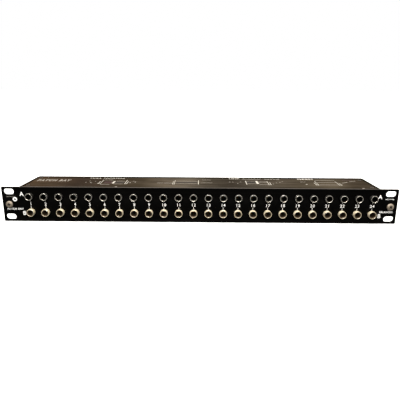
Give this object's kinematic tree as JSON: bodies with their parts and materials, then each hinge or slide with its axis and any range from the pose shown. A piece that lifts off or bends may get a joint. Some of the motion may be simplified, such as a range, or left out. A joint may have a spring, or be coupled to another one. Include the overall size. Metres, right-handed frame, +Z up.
{
  "type": "audio patch bay",
  "caption": "Rack-mount audio patch bay: black one-unit panel with two rows of jack sockets in front, matching rows behind, and channel boards inside.",
  "frame": {"origin": "centre of the front panel's front face, in the middle of the four rack slots", "axes": "+X to the right seen from the front, +Y into the unit, +Z up"},
  "size_m": [0.4826, 0.077, 0.0436],
  "materials": {
    "panel_paint": "satin black powder coat",
    "rear_paint": "satin black powder coat",
    "case_paint": "satin black powder coat, lightly worn",
    "screw_nickel": "nickel plated",
    "screw_black": "black oxide",
    "socket_plastic": "moulded black",
    "housing_plastic": "moulded black",
    "sleeve_nickel": "bright nickel plate",
    "nut_nickel": "warm nickel plate",
    "spring_bronze": "phosphor bronze",
    "contact_tin": "tin plated",
    "print_white": "white screen print",
    "print_grey": "grey screen print",
    "print_red": "red screen print",
    "board_green": "glass epoxy board with solder mask"
  },
  "bodies": {
    "chassis": {"base_screws": "screw_black", "base_tray": "case_paint", "channel_board_01": "board_green", "channel_board_02": "board_green", "channel_board_03": "board_green", "channel_board_04": "board_green", "channel_board_05": "board_green", "channel_board_06": "board_green", "channel_board_07": "board_green", "channel_board_08": "board_green", "channel_board_09": "board_green", "channel_board_10": "board_green", "channel_board_11": "board_green", "channel_board_12": "board_green", "channel_board_13": "board_green", "channel_board_14": "board_green", "channel_board_15": "board_green", "channel_board_16": "board_green", "channel_board_17": "board_green", "channel_board_18": "board_green", "channel_board_19": "board_green", "channel_board_20": "board_green", "channel_board_21": "board_green", "channel_board_22": "board_green", "channel_board_23": "board_green", "channel_board_24": "board_green", "cover_screws": "screw_black", "front_a_bushings": "socket_plastic", "front_a_contacts": "contact_tin", "front_a_housings": "housing_plastic", "front_a_sleeves": "sleeve_nickel", "front_b_bushings": "socket_plastic", "front_b_contacts": "contact_tin", "front_b_housings": "housing_plastic", "front_b_nuts": "nut_nickel", "front_b_sleeves": "sleeve_nickel", "front_panel": "panel_paint", "left_side_bracket": "case_paint", "panel_screws": "screw_nickel", "rear_a_bushings": "socket_plastic", "rear_a_contacts": "contact_tin", "rear_a_housings": "housing_plastic", "rear_a_sleeves": "sleeve_nickel", "rear_b_bushings": "socket_plastic", "rear_b_contacts": "contact_tin", "rear_b_housings": "housing_plastic", "rear_b_nuts": "nut_nickel", "rear_b_sleeves": "sleeve_nickel", "rear_panel": "rear_paint", "rear_screws": "screw_black", "right_side_bracket": "case_paint", "top_cover": "case_paint"},
    "front_a_ring_springs": {"front_a_ring_springs": "spring_bronze"},
    "front_a_tip_springs": {"front_a_tip_springs": "spring_bronze"},
    "front_b_ring_springs": {"front_b_ring_springs": "spring_bronze"},
    "front_b_tip_springs": {"front_b_tip_springs": "spring_bronze"},
    "rear_a_ring_springs": {"rear_a_ring_springs": "spring_bronze"},
    "rear_a_tip_springs": {"rear_a_tip_springs": "spring_bronze"},
    "rear_b_ring_springs": {"rear_b_ring_springs": "spring_bronze"},
    "rear_b_tip_springs": {"rear_b_tip_springs": "spring_bronze"}
  },
  "joints": [
    {"name": "front_a_tip_flex", "type": "hinge", "parent": "chassis", "child": "front_a_tip_springs", "pos_m": [0, 0.0094, 0.01536], "axis": [1, 0, 0], "range_deg": [0, 5], "stiffness_Nm_per_rad": 0.05, "springref_deg": -2.86},
    {"name": "front_a_ring_flex", "type": "hinge", "parent": "chassis", "child": "front_a_ring_springs", "pos_m": [0, 0.0094, 0.00556], "axis": [-1, 0, 0], "range_deg": [0, 5], "stiffness_Nm_per_rad": 0.05, "springref_deg": -2.86},
    {"name": "front_b_tip_flex", "type": "hinge", "parent": "chassis", "child": "front_b_tip_springs", "pos_m": [0, 0.0094, -0.00496], "axis": [1, 0, 0], "range_deg": [0, 5], "stiffness_Nm_per_rad": 0.05, "springref_deg": -2.86},
    {"name": "front_b_ring_flex", "type": "hinge", "parent": "chassis", "child": "front_b_ring_springs", "pos_m": [0, 0.0094, -0.01476], "axis": [-1, 0, 0], "range_deg": [0, 5], "stiffness_Nm_per_rad": 0.05, "springref_deg": -2.86},
    {"name": "rear_a_tip_flex", "type": "hinge", "parent": "chassis", "child": "rear_a_tip_springs", "pos_m": [0, 0.0566, 0.00556], "axis": [1, 0, 0], "range_deg": [0, 5], "stiffness_Nm_per_rad": 0.05, "springref_deg": -2.86},
    {"name": "rear_a_ring_flex", "type": "hinge", "parent": "chassis", "child": "rear_a_ring_springs", "pos_m": [0, 0.0566, 0.01536], "axis": [-1, 0, 0], "range_deg": [0, 5], "stiffness_Nm_per_rad": 0.05, "springref_deg": -2.86},
    {"name": "rear_b_tip_flex", "type": "hinge", "parent": "chassis", "child": "rear_b_tip_springs", "pos_m": [0, 0.0566, -0.01476], "axis": [1, 0, 0], "range_deg": [0, 5], "stiffness_Nm_per_rad": 0.05, "springref_deg": -2.86},
    {"name": "rear_b_ring_flex", "type": "hinge", "parent": "chassis", "child": "rear_b_ring_springs", "pos_m": [0, 0.0566, -0.00496], "axis": [-1, 0, 0], "range_deg": [0, 5], "stiffness_Nm_per_rad": 0.05, "springref_deg": -2.86}
  ]
}
